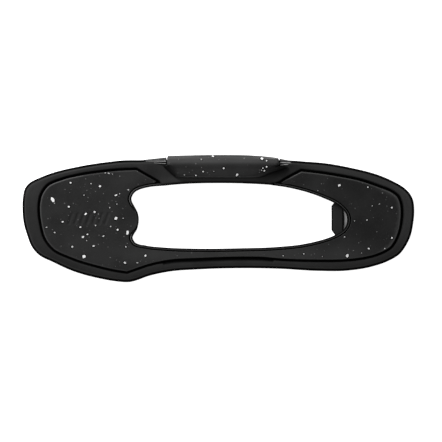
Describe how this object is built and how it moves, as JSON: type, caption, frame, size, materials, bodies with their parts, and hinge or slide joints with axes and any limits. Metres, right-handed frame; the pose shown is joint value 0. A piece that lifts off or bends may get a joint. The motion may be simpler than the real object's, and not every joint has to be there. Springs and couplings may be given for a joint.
{
  "type": "snowboard stomp pad",
  "caption": "Hoop-shaped adhesive stomp pad with a soft bumper rim, flecked rubber deck, raised boot grip and an oval opening.",
  "frame": {"origin": "centre of the pad's footprint, on the adhesive face that lies on the board", "axes": "+X along the pad's length towards the crossbar end, +Y across it towards the raised grip, +Z out of the board"},
  "size_m": [0.22, 0.0714, 0.0111],
  "materials": {
    "carrier_plastic": "satin black moulded plastic",
    "rim_rubber": "plain black moulded rubber with a fine matt grain",
    "flecked_rubber": "black rubber with light and grey recycled flecks",
    "wing_rubber": "grey-black ribbed rubber with a light sheen",
    "crossbar_plastic": "plain black moulded plastic",
    "adhesive_tape": "pale double-sided adhesive tape"
  },
  "bodies": {
    "root": {"carrier_plate": "carrier_plastic", "bumper_rim": "rim_rubber", "speckled_deck": "flecked_rubber", "grip_saddle": "flecked_rubber", "grip_wing_left": "wing_rubber", "grip_wing_right": "wing_rubber", "end_crossbar": "crossbar_plastic", "adhesive_left": "adhesive_tape", "adhesive_right": "adhesive_tape", "adhesive_top": "adhesive_tape", "adhesive_lower": "adhesive_tape"}
  },
  "joints": []
}
